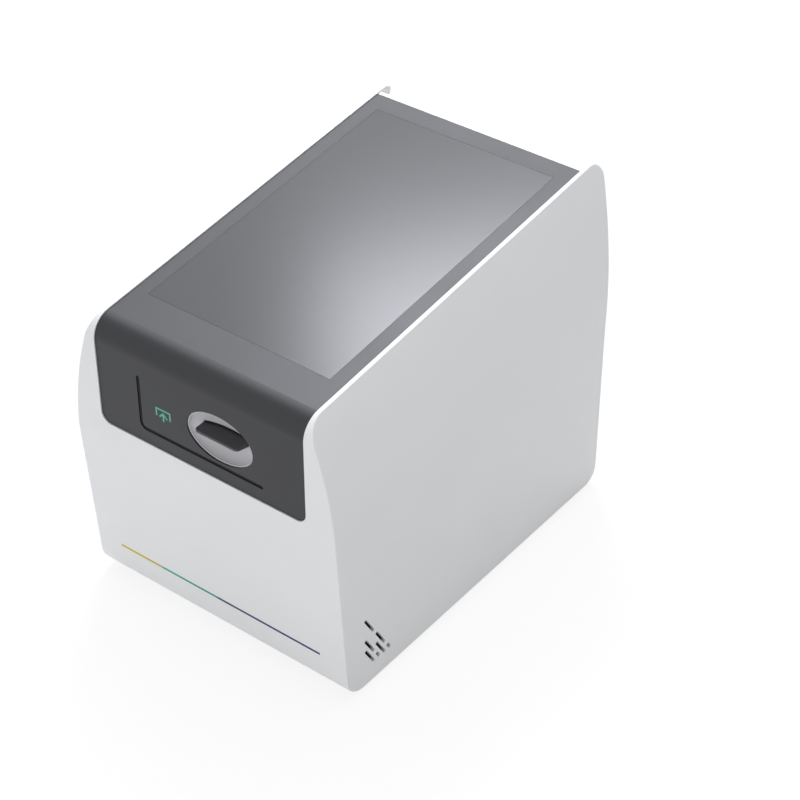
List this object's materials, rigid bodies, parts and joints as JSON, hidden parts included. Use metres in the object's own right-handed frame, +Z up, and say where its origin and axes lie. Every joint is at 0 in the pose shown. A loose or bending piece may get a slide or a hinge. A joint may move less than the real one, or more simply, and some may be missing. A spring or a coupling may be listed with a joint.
{
  "type": "cell counter",
  "caption": "Bench-top cell counter with a sloping touch display, a slide tray in an oval finger recess, vents and a rear panel.",
  "frame": {"origin": "bottom centre of the whole object, on the bench under the feet", "axes": "+Z up, +Y towards the rear, so the front with the tray faces -Y; +X is the viewer's right when facing the front"},
  "size_m": [0.1992, 0.2833, 0.237],
  "materials": {
    "white_housing": "satin moulded",
    "stripe": "printed in three colours",
    "foot_rubber": "moulded",
    "zinc_plate": "zinc plated",
    "screw_steel": "plated",
    "dark_cover": "satin, dark grey",
    "line_black": "dark when unlit",
    "print_green": "printed",
    "screen_glass": "etched anti-glare",
    "display_black": "unlit display",
    "board": "solder mask",
    "ribbon": "flat cable",
    "silver_dish": "satin silver",
    "tray_grey": "matte dark grey",
    "plain_aluminium": "milled",
    "black_plastic": "moulded",
    "port_steel": "tin plated",
    "black_aluminium": "black anodised",
    "lens_barrel": "turned, satin",
    "nut_brass": "turned",
    "motor_steel": "plated",
    "optical_glass": "polished",
    "led_ceramic": "ceramic",
    "pale_panel": "fine texture"
  },
  "bodies": {
    "housing": {"housing_shell": "white_housing", "accent_stripe": "stripe", "rubber_feet": "foot_rubber", "base_plate": "zinc_plate", "base_screws": "screw_steel", "top_cover": "dark_cover", "status_light": "line_black", "load_pictogram": "print_green", "screen_glass": "screen_glass", "lcd_module": "display_black", "display_straps": "zinc_plate", "display_screws": "screw_steel", "display_board": "board", "display_ribbon": "ribbon", "finger_dish": "silver_dish", "stage_plate": "plain_aluminium", "stage_columns": "plain_aluminium", "stage_screws": "screw_steel", "tray_guide_left": "black_plastic", "tray_guide_right": "black_plastic", "latch_magnet": "port_steel", "optics_backplate": "black_aluminium", "focus_rail": "lens_barrel", "focus_motor": "motor_steel", "motor_bracket": "zinc_plate", "screw_bearing_block": "plain_aluminium", "filter_cube": "black_aluminium", "dichroic_mirror": "optical_glass", "cube_bracket": "black_aluminium", "excitation_led": "black_aluminium", "led_heat_sink": "plain_aluminium", "tube_lens": "black_aluminium", "camera_module": "black_aluminium", "illuminator_housing": "black_aluminium", "brightfield_led": "led_ceramic", "condenser_lens": "optical_glass", "illuminator_arm": "black_aluminium", "main_board": "board", "board_standoffs": "nut_brass", "processor_heat_sink": "plain_aluminium", "usb_ports": "port_steel", "ethernet_port": "port_steel", "power_supply": "zinc_plate", "power_inlet": "black_plastic", "switch_bezel": "black_plastic", "fan_frame": "black_plastic", "rear_panel": "pale_panel", "rear_panel_screws": "screw_steel", "fan_screws": "screw_steel", "speaker": "black_plastic", "speaker_bracket": "zinc_plate"},
    "tray": {"slide_tray": "tray_grey", "tray_keeper": "screw_steel"},
    "carriage": {"focus_carriage": "port_steel", "objective_bracket": "black_aluminium", "objective_lens": "lens_barrel", "focus_nut": "nut_brass"},
    "focus_screw": {"lead_screw": "screw_steel"},
    "rotor": {"fan_rotor": "black_plastic"},
    "rocker": {"power_rocker": "black_plastic"}
  },
  "joints": [
    {"name": "tray_slide", "type": "slide", "parent": "housing", "child": "tray", "axis": [0, -1, 0], "range_m": [0, 0.09]},
    {"name": "focus_screw_turn", "type": "hinge", "parent": "housing", "child": "focus_screw", "pos_m": [0.0416, -0.0632, 0.1], "axis": [0, 0, 1], "range_deg": [-905, 905]},
    {"name": "focus_travel", "type": "slide", "parent": "housing", "child": "carriage", "axis": [0, 0, 1], "range_m": [-0.0025, 0.0025]},
    {"name": "fan_spin", "type": "hinge", "parent": "housing", "child": "rotor", "pos_m": [-0.042, 0.117, 0.112], "axis": [0, 1, 0], "continuous": true},
    {"name": "power_rocker_tilt", "type": "hinge", "parent": "housing", "child": "rocker", "pos_m": [0.0606, 0.12565, 0.066], "axis": [1, 0, 0], "range_deg": [0, 16]}
  ],
  "couplings": [
    {"joint": "focus_screw_turn", "follows": "focus_travel", "rad_per_m": -6283.2}
  ]
}
